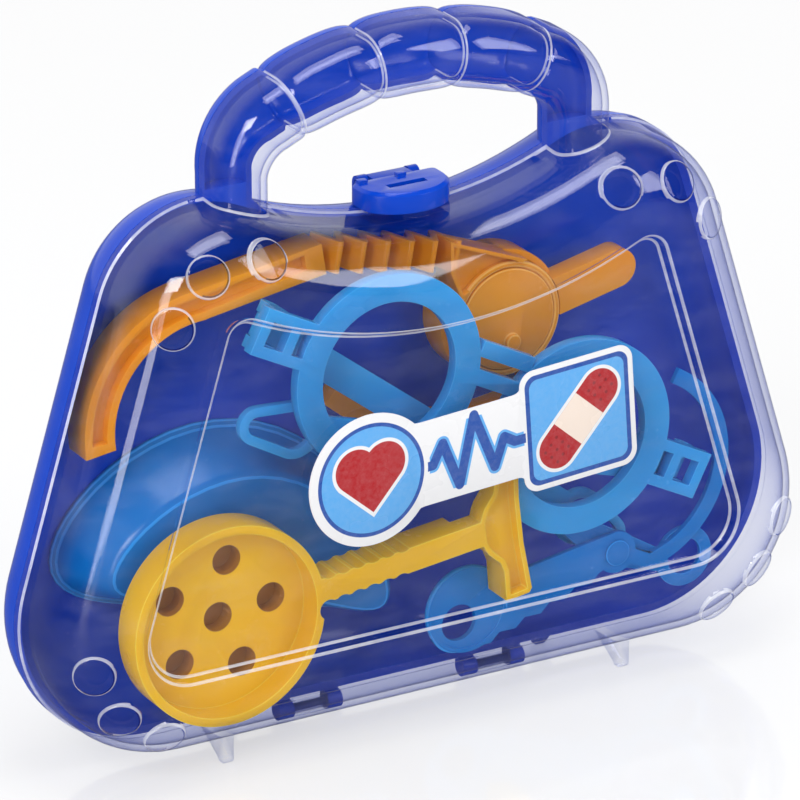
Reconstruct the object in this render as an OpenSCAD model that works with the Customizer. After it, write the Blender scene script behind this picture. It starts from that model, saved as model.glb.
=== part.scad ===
// Toy doctor case: a bag-shaped box with a clear cover, a moulded handle and a set of toy instruments.
// Millimetres, +Z up, the clear cover towards -Y. The origin is under the middle of the case, at the feet.
// Shapes are drawn about the seam between the two halves, with the body's bottom edge at height 0,
// and place() then moves them into the frame.

/* [Case body] */
// Widest width of the bag outline
body_w = 210; // [150:1:300]
// Height of the body without feet or handle
body_h = 135; // [100:1:180]
// Radius of the lower corners
corner_r = 34.5; // [20:0.5:50]
// Radius of the shoulders
shoulder_r = 28; // [18:0.5:40]
// Distance from the middle to a shoulder's centre
shoulder_x = 55.1; // [40:0.1:70]
// How far the top edge dips between the shoulders
saddle_dip = 12; // [4:0.5:20]
// Wall thickness of both halves
wall = 1.6; // [1:0.1:3]
// Gap left between the two halves at the seam
seam_gap = 0.2; // [0.1:0.05:0.6]

/* [Clear cover] */
// Depth of the clear cover in front of the seam
cover_d = 25.5; // [15:0.5:40]
// Radius of the rounding round its front
cover_edge_r = 16; // [6:0.5:20]
// Draft of the side walls before the rounding starts
cover_draft = 0.4; // [0:0.1:1]
// How far in from the outline the sunken front panel starts
panel_inset = 22.6; // [18:0.2:24]
// How deep the front panel is sunk
panel_d = 2.4; // [0:0.1:4]
// Radius of the round pads on the corners
pad_r = 5.3; // [3:0.1:8]
// How far the pads stand proud
pad_h = 0.6; // [0.4:0.1:3]

/* [Back shell] */
// Depth of the back shell behind the seam
back_d = 16.5; // [10:0.5:30]
// Radius of the rounding round its back
back_edge_r = 13.5; // [6:0.5:15]
// Width of the bead along the seam on both halves
bead_w = 2.0; // [1:0.1:3]
// How far the bead stands proud
bead_h = 0.5; // [0:0.1:1]

/* [Handle] */
// Distance from the middle to the centre line of each leg
leg_x = 47; // [35:0.5:60]
// Height of the handle's centre line above the body
handle_rise = 27.4; // [22:0.2:40]
// Radius of the tight bends above the legs
bend_r = 15; // [10:0.5:25]
// Radius of the long upper bow
bow_r = 88; // [60:1:120]
// Half the leg's width
leg_r = 7.1; // [5:0.1:10]
// Half the bow's width beside the finger grooves
bow_half_w = 8.9; // [6:0.1:12]
// Half the bow's width in the finger grooves
groove_r = 7.5; // [5:0.1:10]
// Half the bow's width on the finger bulges
bulge_r = 9.3; // [6:0.1:12]
// Distance from the middle to the inner and the outer grooves
groove_x = [11, 33.5]; // [5:0.5:45]
// Depth of the handle in front of the seam and behind it
handle_d = [13, 6.5]; // [4:0.5:16]

/* [Feet and hinge] */
// How far the feet reach below the body
foot_h = 6; // [3:0.5:12]
// Width of each foot
foot_w = 3; // [2:0.2:8]
// Distance from the middle to the front feet and to the rear feet
foot_x = [56, 45]; // [20:1:80]
// Distance of the hinge stations from the middle
hinge_x = 26; // [15:1:40]
// Width of the middle knuckle of each hinge station
knuckle_w = 9; // [5:0.5:15]
// Outer radius of the hinge knuckles
knuckle_r = 2.3; // [1.8:0.1:4]
// Radius of the hinge pin
pin_r = 1.0; // [0.7:0.05:2]
// Clearance round moving pins and beside knuckles
play = 0.25; // [0.1:0.05:0.5]
// Depth of the hinge axis below the body's bottom edge
hinge_drop = 3.2; // [2.8:0.1:4]

/* [Latch] */
// Width of the latch cap
latch_w = 23.6; // [16:0.2:36]
// Reach of the latch cap over the cover
latch_reach = 14; // [8:0.5:20]
// Height of the latch cap
latch_h = 5.2; // [4:0.1:8]
// Thickness of the latch walls
latch_t = 1.5; // [1:0.1:2.5]
// Length and width of the slot in the latch cap
slot = [10.5, 2.2]; // [1:0.1:16]

/* [Sticker] */
// Length and height of the sticker
sticker = [92, 34]; // [20:1:110]
// Thickness of the sticker
sticker_t = 0.25; // [0.1:0.05:0.6]
// Tilt of the sticker
sticker_tilt = 4; // [-20:1:20]

/* [Stethoscope] */
// Width of the headset band
band_w = 8; // [5:0.5:12]
// Outer radius of the headset's bow
band_r = 33; // [25:0.5:40]
// Depth of the headset band
band_d = 9; // [5:0.5:12]
// Number of straight runs in the pleated ribbon
pleats = 11; // [3:2:13]
// Thickness of the pleated ribbon
ribbon_t = 1.8; // [1.2:0.1:3]
// Radius of the chest piece
chest_r = 14.9; // [10:0.1:20]

/* [Glasses] */
// Outer and inner radius of the rings
ring_r = [25.4, 18.4]; // [10:0.1:30]
// Distance between the ring centres
ring_pitch = 60.8; // [52:0.2:70]
// Thickness of the front frame
frame_t = 3.3; // [2:0.1:5]
// Distance from the middle of the glasses to each hinge block
block_x = 64.5; // [58:0.5:70]
// Width, height and depth of the hinge blocks
block = [11, 12, 8]; // [4:0.5:20]
// Tilt of the glasses as packed
glasses_tilt = -27; // [-45:1:45]
// Length of a temple from its hinge to the centre of its tip
temple_l = 124; // [90:1:130]
// Width of the temples
temple_w = 8; // [5:0.5:10]
// Thickness of the temples
temple_t = 2; // [1.2:0.1:3]
// Angle of each temple from the line of the glasses
temple_drop = 10.5; // [0:0.5:20]

/* [Kidney dish] */
// Half length and half width of the dish
dish = [48, 24]; // [15:0.5:60]
// How far the ends of the dish curl down
dish_bend = 13; // [0:0.5:20]
// Depth of the dish
dish_d = 17.5; // [8:0.5:25]
// How far the dish tapers in from rim to floor
dish_taper = 8; // [2:0.5:12]
// Wall thickness of the dish
dish_t = 1.5; // [1:0.1:3]
// Tilt of the dish as packed
dish_tilt = -17; // [-45:1:45]

/* [Toy hammer] */
// Radius of the round cup
cup_r = 25.8; // [15:0.2:30]
// Depth of the cup
cup_d = 9; // [5:0.5:12]
// Radius of the holes in the cup's floor
hole_r = 3.7; // [2:0.1:5]
// Radius of the circle that the outer holes lie on
hole_ring_r = 14.6; // [10:0.1:18]
// Height of the handle bar
bar_h = 6.6; // [4:0.1:10]
// Slope of the handle bar
bar_slope = 6.7; // [0:0.1:20]
// Radius of the finger scallops along the bar
scallop_r = 2.6; // [1:0.1:4]

/* [Scissors] */
// Thickness of each half
half_t = 1.4; // [1:0.1:2.5]
// Radius of the rivet
rivet_r = 1.6; // [1:0.1:3]
// Outer and inner radius of the finger loops
loop_r = [8, 4.8]; // [3:0.1:12]
// Radius of the curved blade's centre line
blade_arc_r = 26; // [15:0.5:40]
// Width of the curved blade
blade_w = 4; // [2:0.2:8]

/* [Hidden] */

// Colours of the mouldings
royal_blue = [0.04, 0.16, 0.75];
clear_violet = [0.72, 0.76, 0.95, 0.35];
sky_blue = [0.24, 0.62, 0.88];
dish_blue = [0.06, 0.44, 0.76];
orange = [0.94, 0.62, 0.18];
yellow = [0.96, 0.76, 0.14];
paper_white = [0.95, 0.95, 0.96];

// Small amounts: overlap that fuses two shapes, and the gap that keeps two pieces apart
fuse = 0.4;
part_gap = 0.3;
fine = 64;
medium = 40;

// The pads on the front corners lean this far towards the front, and reach a little past the cover
pad_tilt = 60;
front_reach = cover_d - cover_edge_r * (1 - sin(pad_tilt)) + pad_h * sin(pad_tilt) + pad_r * cos(pad_tilt);

// The seam's place in the frame, so that the depth is centred on the origin
seam_y = (front_reach - back_d) / 2;

// Bag outline: lower corner, straight flank, shoulder, and the hollow saddle between the shoulders
corner_x = body_w / 2 - corner_r;
shoulder_z = body_h - shoulder_r;
flank_len = norm([corner_x - shoulder_x, corner_r - shoulder_z]);
flank_a = atan2(corner_r - shoulder_z, corner_x - shoulder_x) + acos((shoulder_r - corner_r) / flank_len);
saddle_r = (pow(shoulder_x, 2) + pow(saddle_dip, 2)) / (2 * saddle_dip) - shoulder_r;
saddle_z = body_h - saddle_dip + saddle_r;
saddle_a = atan2(saddle_z - shoulder_z, -shoulder_x);
corner_steps = 11;
shoulder_steps = 11;
saddle_steps = 6;
edge_steps = 6;

// Inner surfaces
back_floor_y = back_d - wall;
front_inner_y = -(cover_d - wall);
foot_reach = [15, 10];
foot_tip_w = 2.6;
panel_y = -(cover_d - panel_d);
hinge_z = -hinge_drop;

// Handle: legs, tight bends and the long bow, each half given as points from the middle outwards
handle_top = body_h + handle_rise;
bend_x = leg_x - bend_r;
bow_z = handle_top - bow_r;
bend_a = acos(bend_x / (bow_r - bend_r));
bend_z = bow_z + sqrt(pow(bow_r - bend_r, 2) - pow(bend_x, 2));
leg_start_z = body_h - 17;
leg_inner_z = body_h + 1.2;
bow_steps = 34;
bend_steps = 8;

// Latch hinge
latch_axis = [6, body_h - 7.4];
latch_ear_x = 7;
latch_ear_w = 2.6;
latch_ear_r = 2.1;
latch_pin_r = 0.9;
latch_rear_y = 3;
latch_top_z = body_h - 5.3;
catch_size = [7.5, 2.2, 2.6];
catch_y = -7.5;

// Places of the instruments inside the case, as packed
band_c = [-52, 78];
band_y = 1;
ribbon_from = [-19, 112.3];
ribbon_to = [17, 105.8];
chest_c = [31.9, 86.3];
chest_y = 3.1;
chest_fit = 0.1;
diaphragm_t = 1.2;
tab_end = [63.5, 93.5];
arm_c = [25, 115];
arm_r = 57;
arm_y = 9.8;
glasses_c = [18.3, 70.7];
rings_y = -11;
left_temple_y = -2;
right_temple_y = -7.4;
left_axis_y = -1.9;
right_axis_y = -5.5;
lug_gap = 6.2;
lug_r = 2.3;
temple_pin_r = 0.9;
temple_barrel_r = 1.9;
temple_root_w = 4.4;
temple_root_l = 4;
dish_c = [-38.5, 45.2];
dish_uneven = 0.15;
cup_c = [-56, 30.9];
hammer_y = -17;
bar_from = [-34, 34.2];
bar_to = [14, 39.9];
head_c = [12.7, 39.9];
head_relief_y = -11.3;
pivot_c = [58, 22];
blade_c = [62.5, 43];
half_a_y = -7.6;
half_b_y = -5.9;
loop_a_c = [12.5, 13];
loop_b_c = [79, 15.8];

// ---------- shared shapes ----------

module place() {
    translate([0, seam_y, foot_h])
        children();
}

// A flat outline drawn in X and Z, given depth from y to y + d
module slab(y, d) {
    translate([0, y + d, 0])
        rotate([90, 0, 0])
            linear_extrude(height = d)
                children();
}

// A round bar along X, centred on x
module bar_x(x, y, z, r, length, sides = fine) {
    translate([x - length / 2, y, z])
        rotate([0, 90, 0])
            cylinder(r = r, h = length, $fn = sides);
}

function arc_points(c, r, a0, a1, steps) =
    [for (i = [0:steps]) let (a = a0 + (a1 - a0) * i / steps) [c[0] + r * cos(a), c[1] + r * sin(a)]];

// Right half of the bag outline, set in by inset, from the bottom up to the middle of the saddle
function half_outline(inset) = concat(
    arc_points([corner_x, corner_r], corner_r - inset, -90, flank_a, corner_steps),
    arc_points([shoulder_x, shoulder_z], shoulder_r - inset, flank_a, saddle_a, shoulder_steps),
    [for (i = [1:saddle_steps])
        let (a = (saddle_a + 180) + (270 - saddle_a - 180) * i / saddle_steps)
            [(saddle_r + inset) * cos(a), saddle_z + (saddle_r + inset) * sin(a)]]);

function mirrored(half) = concat(half, [for (i = [len(half) - 2:-1:0]) [-half[i][0], half[i][1]]]);
function outline(inset) = mirrored(half_outline(inset));

// A closed skin through rings of points; each ring is [depth, flat outline]
module skin(rings) {
    n = len(rings[0][1]);
    last = len(rings) - 1;
    points = [for (ring = rings) for (p = ring[1]) [p[0], ring[0], p[1]]];
    sides = [for (k = [0:last - 1]) for (i = [0:n - 1])
        let (j = (i + 1) % n)
            [k * n + i, (k + 1) * n + i, (k + 1) * n + j, k * n + j]];
    caps = [[for (i = [0:n - 1]) i], [for (i = [n - 1:-1:0]) last * n + i]];
    polyhedron(points = points, faces = concat(sides, caps), convexity = 10);
}

// Rings of a half case: levels are [depth, inset]
module bag(levels) {
    skin([for (level = levels) [level[0], outline(level[1])]]);
}

// Levels of a quarter-round edge that starts at depth y0, set in by inset0, towards side (-1 or 1)
function edge_levels(y0, inset0, r, side) =
    [for (i = [0:edge_steps])
        let (a = 90 * i / edge_steps) [y0 + side * r * sin(a), inset0 + r * (1 - cos(a))]];

// ---------- handle ----------

function bulge(t) = groove_r + (bulge_r - groove_r) * sqrt(1 - pow(abs(2 * t - 1), 4));

// Half width of the bow at distance x from the middle
function bow_half(x) =
    x < groove_x[0] ? bulge((x + groove_x[0]) / (2 * groove_x[0]))
    : x < groove_x[1] ? bulge((x - groove_x[0]) / (groove_x[1] - groove_x[0]))
    : min(bow_half_w, groove_r + (x - groove_x[1]) * 2);

// Centre line from the middle of the bow to the leg: [x, z, direction of travel, half width]
function handle_half(foot_z, cut) = concat(
    [for (i = [0:bow_steps])
        let (a = 90 - (90 - bend_a) * i / bow_steps, x = bow_r * cos(a))
            [x, bow_z + bow_r * sin(a), a - 90, bow_half(x) - cut]],
    [for (i = [1:bend_steps])
        let (a = bend_a * (1 - i / bend_steps), w = bow_half_w + (leg_r - bow_half_w) * i / bend_steps)
            [bend_x + bend_r * cos(a), bend_z + bend_r * sin(a), a - 90, w - cut]],
    [[leg_x, foot_z, -90, leg_r - cut]]);

function handle_path(foot_z, cut) = let (half = handle_half(foot_z, cut)) concat(
    [for (i = [len(half) - 1:-1:1]) [-half[i][0], half[i][1], -half[i][2], half[i][3]]], half);

// Section of a handle half: flat at the seam, straight sides, rounded over; as [across, depth]
function handle_section(w, y0, y1, side) =
    let (steps = 8, d = abs(y1), round_d = min(w, d - 1))
        concat([[w, y0]], [for (i = [0:steps])
            let (a = 180 * i / steps) [w * cos(a), side * (d - round_d + round_d * sin(a))]], [[-w, y0]]);

module handle_bar(foot_z, cut, y0, y1, side) {
    path = handle_path(foot_z, cut);
    sections = [for (p = path) handle_section(p[3], y0, y1, side)];
    m = len(sections[0]);
    last = len(path) - 1;
    points = [for (k = [0:last]) for (s = sections[k])
        [path[k][0] - s[0] * sin(path[k][2]), s[1], path[k][1] + s[0] * cos(path[k][2])]];
    sides = [for (k = [0:last - 1]) for (i = [0:m - 1])
        let (j = (i + 1) % m)
            [k * m + i, (k + 1) * m + i, (k + 1) * m + j, k * m + j]];
    caps = [[for (i = [0:m - 1]) i], [for (i = [m - 1:-1:0]) last * m + i]];
    faces = concat(sides, caps);
    flipped = [for (f = faces) [for (i = [len(f) - 1:-1:0]) f[i]]];
    polyhedron(points = points, faces = side < 0 ? faces : flipped, convexity = 10);
}

// ---------- feet, pads and hinge ----------

// Foot seen from the side: upright outer face, flat tip, slanting inner face
module foot(x, side) {
    reach = foot_reach[side < 0 ? 0 : 1];
    root_y = 2.2;
    root_z = 1.5;
    tip_rise = 0.8;
    translate([x - foot_w / 2, 0, 0])
        rotate([90, 0, 90])
            linear_extrude(height = foot_w)
                polygon([for (p = [[reach, root_z], [reach, tip_rise - foot_h], [reach - 0.5, -foot_h],
                        [reach - foot_tip_w, -foot_h], [reach - foot_tip_w - 0.6, tip_rise - foot_h],
                        [root_y, 0], [root_y, root_z]]) [side * p[0], p[1]]]);
}

// Round pads on the rounding of one corner
module pads(c, r, angles) {
    level = cover_draft + cover_edge_r * (1 - cos(pad_tilt));
    for (a = angles, flip = [-1, 1])
        translate([flip * (c[0] + (r - level) * cos(a)), -(cover_d - cover_edge_r * (1 - sin(pad_tilt))),
                c[1] + (r - level) * sin(a)])
            rotate([0, flip > 0 ? -a : a - 180, 0])
                rotate([0, 0, -pad_tilt])
                    rotate([0, 90, 0])
                        translate([0, 0, -wall])
                            cylinder(r = pad_r, h = wall + pad_h, $fn = 20);
}

// ---------- shells ----------

module cover_skin() {
    outer = concat([[-seam_gap / 2, -bead_h], [-bead_w, -bead_h], [-bead_w - bead_h, 0]],
        edge_levels(-(cover_d - cover_edge_r), cover_draft, cover_edge_r, -1),
        [[-cover_d, panel_inset], [panel_y, panel_inset + 1.2]]);
    inner = concat([[1, wall]],
        edge_levels(-(cover_d - cover_edge_r), cover_draft + wall, cover_edge_r - wall, -1),
        [[front_inner_y, panel_inset - wall], [panel_y + wall, panel_inset + 1.2 - wall]]);
    minkowski() {
        difference() {
            union() {
                bag(outer);
                handle_bar(leg_start_z, 0, -seam_gap / 2, -handle_d[0], -1);
                pads([shoulder_x, shoulder_z], shoulder_r, [18, 62, 110]);
                pads([corner_x, corner_r], corner_r, [-11, -43, -74]);
                for (side = [-1, 1])
                    foot(side * foot_x[0], -1);
                translate([-catch_size[0] / 2, catch_y - catch_size[1] / 2, body_h - saddle_dip - wall])
                    cube([catch_size[0], catch_size[1], wall + catch_size[2]]);
            }
            bag(inner);
            handle_bar(leg_inner_z, wall, 1, -(handle_d[0] - wall), -1);
        }
    }
}

module back_skin() {
    outer = concat([[seam_gap / 2, -bead_h], [bead_w, -bead_h], [bead_w + bead_h, 0]],
        edge_levels(back_d - back_edge_r, 0, back_edge_r, 1));
    inner = concat([[-1, wall]], edge_levels(back_d - back_edge_r, wall, back_edge_r - wall, 1));
    minkowski() {
        difference() {
            union() {
                mirror([0, 1, 0])
                    bag([for (level = outer) [-level[0], level[1]]]);
                handle_bar(leg_start_z, 0, seam_gap / 2, handle_d[1], 1);
                for (side = [-1, 1])
                    foot(side * foot_x[1], 1);
            }
            mirror([0, 1, 0])
                bag([for (level = inner) [-level[0], level[1]]]);
            handle_bar(leg_inner_z, wall, -1, handle_d[1] - wall, 1);
        }
    }
}

// Bowed front and nearly square rear of the latch cap, set in by inset
module latch_outline(inset) {
    bow = 0.75;
    rear_r = max(1.8 - inset, 0.3);
    w = latch_w / 2 - inset;
    rear = latch_rear_y - inset;
    front = latch_rear_y - latch_reach + inset;
    hull() {
        for (side = [-1, 1])
            translate([side * (w - rear_r), rear - rear_r])
                circle(r = rear_r, $fn = 16);
        intersection() {
            translate([0, front + bow * w])
                scale([1, bow])
                    circle(r = w, $fn = fine);
            translate([-w, front])
                square([2 * w, bow * w]);
        }
    }
}

module clear_cover() {
    color(clear_violet)
        place()
            difference() {
                union() {
                    cover_skin();
                    for (x = [-hinge_x, hinge_x]) {
                        bar_x(x, 0, hinge_z, knuckle_r, knuckle_w);
                        translate([x - knuckle_w / 2, -knuckle_r, hinge_z])
                            cube([knuckle_w, knuckle_r - part_gap, hinge_drop + wall / 2]);
                    }
                }
                for (x = [-hinge_x, hinge_x])
                    bar_x(x, 0, hinge_z, pin_r + play, knuckle_w + 1);
            }
}

module back_shell() {
    ear_w = 4;
    ear_z = body_h - saddle_dip - wall / 2;
    ear_bore_r = latch_pin_r + play;
    color(royal_blue)
        place()
            difference() {
                union() {
                    back_skin();
                    for (x = [-hinge_x, hinge_x]) {
                        bar_x(x, 0, hinge_z, pin_r, knuckle_w + ear_w);
                        for (side = [-1, 1]) {
                            ear = x + side * (knuckle_w / 2 + play + ear_w / 2);
                            bar_x(ear, 0, hinge_z, knuckle_r, ear_w);
                            translate([ear - ear_w / 2, part_gap, hinge_z])
                                cube([ear_w, knuckle_r - part_gap, hinge_drop + wall / 2]);
                        }
                    }
                    for (side = [-1, 1]) {
                        bar_x(side * latch_ear_x, latch_axis[0], latch_axis[1], latch_ear_r, latch_ear_w);
                        translate([side * latch_ear_x - latch_ear_w / 2, latch_axis[0] - latch_ear_r, ear_z])
                            cube([latch_ear_w, 2 * latch_ear_r, latch_axis[1] - ear_z]);
                    }
                }
                for (side = [-1, 1])
                    bar_x(side * latch_ear_x, latch_axis[0], latch_axis[1], ear_bore_r, latch_ear_w + 1);
            }
}

module latch() {
    barrel_w = 2 * (latch_ear_x - play) - latch_ear_w;
    barrel_r = 1.9;
    cap_z = latch_top_z - latch_h;
    edge = 0.8;
    nib = [2.4, 1.8, 1.2];
    color(royal_blue)
        place() {
            difference() {
                translate([0, 0, cap_z])
                    hull() {
                        linear_extrude(height = latch_h - edge)
                            latch_outline(0);
                        linear_extrude(height = latch_h)
                            latch_outline(edge);
                    }
                translate([0, 0, cap_z - 1])
                    linear_extrude(height = latch_h - latch_t + 1)
                        latch_outline(latch_t);
                translate([-slot[0] / 2, latch_rear_y - latch_reach / 2 - slot[1] / 2, cap_z])
                    cube([slot[0], slot[1], latch_h + 1]);
            }
            for (x = [nib[0] - latch_w / 2, nib[0] / 2])
                translate([x - nib[0] / 2, latch_rear_y - edge - nib[1], latch_top_z - fuse])
                    cube(nib);
            bar_x(0, latch_axis[0], latch_axis[1], barrel_r, barrel_w);
            bar_x(0, latch_axis[0], latch_axis[1], latch_pin_r, 2 * latch_ear_x + latch_ear_w);
            translate([-barrel_w / 2, latch_rear_y - fuse, latch_axis[1] - barrel_r])
                cube([barrel_w, latch_axis[0] - latch_rear_y + fuse, 2 * barrel_r]);
        }
}

// ---------- sticker ----------

// Die-cut sticker: a long rounded strip with a round badge and a square badge in line
module label() {
    c = [8, 66];
    strip_r = 11;
    corner = 4;
    badge_r = sticker[1] / 2;
    color(paper_white)
        place()
            slab(panel_y - sticker_t, sticker_t)
                translate(c)
                    rotate(sticker_tilt) {
                        square([sticker[0] - 2 * badge_r, 2 * strip_r], center = true);
                        translate([-sticker[0] / 2 + badge_r, 0])
                            circle(r = badge_r, $fn = fine);
                        translate([sticker[0] / 2 - badge_r, 0])
                            offset(r = corner)
                                square(2 * (badge_r - corner) - 2, center = true);
                    }
}

// ---------- stethoscope ----------

module ring_sector(r_out, r_in, a0, a1, d) {
    rotate([0, 0, a0])
        rotate_extrude(angle = a1 - a0, $fn = fine)
            translate([r_in, 0])
                square([r_out - r_in, d]);
}

// A curved band standing on edge: arc in X and Z, given depth from y to y + d
module band_arc(c, r_out, width, a0, a1, y, d) {
    translate([c[0], y + d, c[1]])
        rotate([90, 0, 0])
            ring_sector(r_out, r_out - width, a0, a1, d);
}

// Flat outline of a straight rib between two points, with round ends or square ones
module rib_outline(from, to, width, ends = true) {
    run = to - from;
    length = norm(run);
    translate(from)
        rotate(atan2(run[1], run[0])) {
            translate([0, -width / 2])
                square([length, width]);
            if (ends)
                for (x = [0, length])
                    translate([x, 0])
                        circle(d = width, $fn = medium);
        }
}

// A straight rib between two points of the X and Z plane
module rib(from, to, width, y, d, ends = true) {
    slab(y, d)
        rib_outline(from, to, width, ends);
}

// Pleated ribbon: a zigzag seen from above, standing on edge between the band and the chest piece
module pleated_ribbon() {
    run = ribbon_to - ribbon_from;
    points = [for (i = [0:pleats])
        [norm(run) * i / pleats, band_y + (i % 2 == 0 ? band_d - ribbon_t / 2 : ribbon_t / 2)]];
    translate([ribbon_from[0], 0, ribbon_from[1]])
        rotate([0, -atan2(run[1], run[0]), 0])
            translate([0, 0, -band_w / 2])
                linear_extrude(height = band_w)
                    for (i = [0:pleats - 1])
                        rib_outline(points[i], points[i + 1], ribbon_t);
}

// Flat web that widens from the end of the ribbon to the chest piece
module neck_outline() {
    r = chest_r + ribbon_t / 2;
    polygon([ribbon_to + [-ribbon_t, band_w / 2], chest_c + r * [cos(72), sin(72)],
        chest_c + r * [cos(150), sin(150)], ribbon_to - [ribbon_t, band_w / 2]]);
}

module stethoscope_headset() {
    bow_end = [band_c[0], band_c[1] + band_r - band_w / 2];
    groove_w = 4;
    groove_d = 2.5;
    groove_r_out = band_r - (band_w - groove_w) / 2;
    arm_end = arm_c + arm_r * [cos(292), sin(292)];
    arm_w = 6;
    cup_d = back_floor_y - chest_y - 3;
    color(orange)
        place()
            minkowski() {
                union() {
                    difference() {
                        union() {
                            band_arc(band_c, band_r, band_w, 90, 188, band_y, band_d);
                            rib(bow_end - [1, 0], ribbon_from - [1, 0], band_w, band_y, band_d, false);
                        }
                        band_arc(band_c, groove_r_out, groove_w, 90, 183, band_y - 1, groove_d + 1);
                        rib(
                            bow_end - [1, 0], ribbon_from - [6, 0], groove_w,
                            band_y - 1, groove_d + 1, false);
                    }
                    pleated_ribbon();
                    difference() {
                        union() {
                            slab(band_y, band_d)
                                neck_outline();
                            rib(chest_c, tab_end, band_w + 2, band_y + 1, band_d - 3);
                            band_arc(arm_c, arm_r + arm_w / 2, arm_w, 228, 292, arm_y, back_floor_y - arm_y);
                            rib(arm_end, chest_c + [6, -6], arm_w, arm_y, back_floor_y - arm_y);
                            translate([chest_c[0], back_floor_y, chest_c[1]])
                                rotate([90, 0, 0])
                                    cylinder(r = chest_r + ribbon_t, h = cup_d, $fn = fine);
                        }
                        slab(band_y - 1, groove_d + 1)
                            offset(delta = -ribbon_t / 2)
                                neck_outline();
                        translate([chest_c[0], back_floor_y + 1, chest_c[1]])
                            rotate([90, 0, 0])
                                cylinder(r = chest_r + chest_fit, h = back_floor_y + 20, $fn = fine);
                    }
                }
            }
}

module chest_piece() {
    lip_w = 1.6;
    lip_d = 1;
    color(orange)
        place()
            difference() {
                translate([chest_c[0], back_floor_y, chest_c[1]])
                    rotate([90, 0, 0])
                        cylinder(r = chest_r, h = back_floor_y - chest_y + lip_d, $fn = fine);
                translate([chest_c[0], chest_y, chest_c[1]])
                    rotate([90, 0, 0])
                        cylinder(r = chest_r - lip_w, h = lip_d + 1, $fn = fine);
            }
}

module diaphragm() {
    rim_gap = 1.9;
    nub_r = 2;
    color(orange)
        place() {
            translate([chest_c[0], chest_y, chest_c[1]])
                rotate([90, 0, 0])
                    cylinder(r = chest_r - rim_gap, h = diaphragm_t, $fn = fine);
            translate([chest_c[0] + 1, chest_y, chest_c[1] - 6])
                rotate([90, 0, 0])
                    cylinder(r = nub_r, h = diaphragm_t + 1.4, $fn = medium);
        }
}

// ---------- glasses ----------

// Puts children in the glasses' own plane: X along the rings, Z across them
module glasses_plane() {
    translate([glasses_c[0], 0, glasses_c[1]])
        rotate([0, -glasses_tilt, 0])
            children();
}

module ring_disc(x, r, y, d) {
    translate([x, y + d, 0])
        rotate([90, 0, 0])
            cylinder(r = r, h = d, $fn = 96);
}

// Two lugs behind one hinge block, with a bore for the temple's pin at depth axis_y
module hinge_lugs(side, axis_y) {
    lug_w = (block[1] - lug_gap) / 2;
    for (end = [-1, 1])
        difference() {
            union() {
                translate([side * block_x - lug_r, rings_y + frame_t - fuse,
                        end * (lug_gap + lug_w) / 2 - lug_w / 2])
                    cube([2 * lug_r, axis_y - rings_y - frame_t + fuse, lug_w]);
                translate([side * block_x, axis_y, end * (lug_gap + lug_w) / 2 - lug_w / 2])
                    cylinder(r = lug_r, h = lug_w, $fn = medium);
            }
            translate([side * block_x, axis_y, -block[1]])
                cylinder(r = temple_pin_r + play, h = 2 * block[1], $fn = medium);
        }
}

module glasses_frame() {
    bridge_w = 4;
    window = [5.6, 6.4];
    color(sky_blue)
        place()
            glasses_plane() {
                difference() {
                    union() {
                        for (side = [-1, 1]) {
                            ring_disc(side * ring_pitch / 2, ring_r[0], rings_y, frame_t);
                            translate([side * block_x - block[0] / 2, rings_y, -block[1] / 2])
                                cube([block[0], frame_t, block[1]]);
                            for (z = [-1, 1])
                                translate([side > 0 ? ring_pitch / 2 + ring_r[0] - 6 : -block_x,
                                        rings_y, z * (block[1] / 2 - 1.4) - 1.4])
                                    cube([block_x - ring_pitch / 2 - ring_r[0] + 6, frame_t, 2.8]);
                        }
                        for (z = [bridge_w, bridge_w + 7])
                            translate([-8, rings_y, z])
                                cube([16, frame_t, bridge_w]);
                    }
                    for (side = [-1, 1]) {
                        ring_disc(side * ring_pitch / 2, ring_r[1], rings_y - 1, frame_t + 2);
                        translate([side * block_x - window[0] / 2, rings_y - 1, -window[1] / 2])
                            cube([window[0], frame_t + 2, window[1]]);
                    }
                }
                hinge_lugs(-1, left_axis_y);
                hinge_lugs(1, right_axis_y);
            }
}

// Pear-shaped loop: big end at the origin, small end at distance along X
module pear(r_big, r_small, distance) {
    a = acos((r_big - r_small) / distance);
    circle(r = r_big, $fn = fine);
    translate([distance, 0])
        circle(r = r_small, $fn = fine);
    polygon([
        r_big * [cos(a), sin(a)], r_big * [cos(a), -sin(a)],
        [distance + r_small * cos(a), -r_small * sin(a)], [distance + r_small * cos(a), r_small * sin(a)]]);
}

// A temple seen from its hinge: barrel with its pin, flat bar and pear-shaped ear loop
module temple(side, y, axis_y) {
    loop_at = temple_l - 11;
    big_r = 7.3;
    small_r = 4.8;
    rim = 2.4;
    barrel_w = lug_gap - 2 * play;
    color(sky_blue)
        place()
            glasses_plane()
                translate([side * block_x, 0, 0]) {
                    rotate([0, side > 0 ? 180 - temple_drop : temple_drop, 0])
                        minkowski() {
                            slab(y, temple_t)
                                difference() {
                                    union() {
                                        translate([0, -temple_root_w / 2])
                                            square([temple_root_l, temple_root_w]);
                                        translate([temple_root_l - fuse, -temple_w / 2])
                                            square([loop_at - temple_root_l, temple_w]);
                                        translate([loop_at, 0])
                                            pear(big_r, small_r, temple_l - loop_at);
                                    }
                                    translate([loop_at, 0])
                                        pear(big_r - rim, small_r - rim, temple_l - loop_at);
                                }
                        }
                    translate([0, axis_y, -barrel_w / 2])
                        cylinder(r = temple_barrel_r, h = barrel_w, $fn = medium);
                    translate([0, axis_y, -block[1] / 2])
                        cylinder(r = temple_pin_r, h = block[1], $fn = medium);
                }
}

module glasses_temple_left() {
    temple(-1, left_temple_y, left_axis_y);
}

module glasses_temple_right() {
    temple(1, right_temple_y, right_axis_y);
}

// ---------- kidney dish ----------

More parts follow.
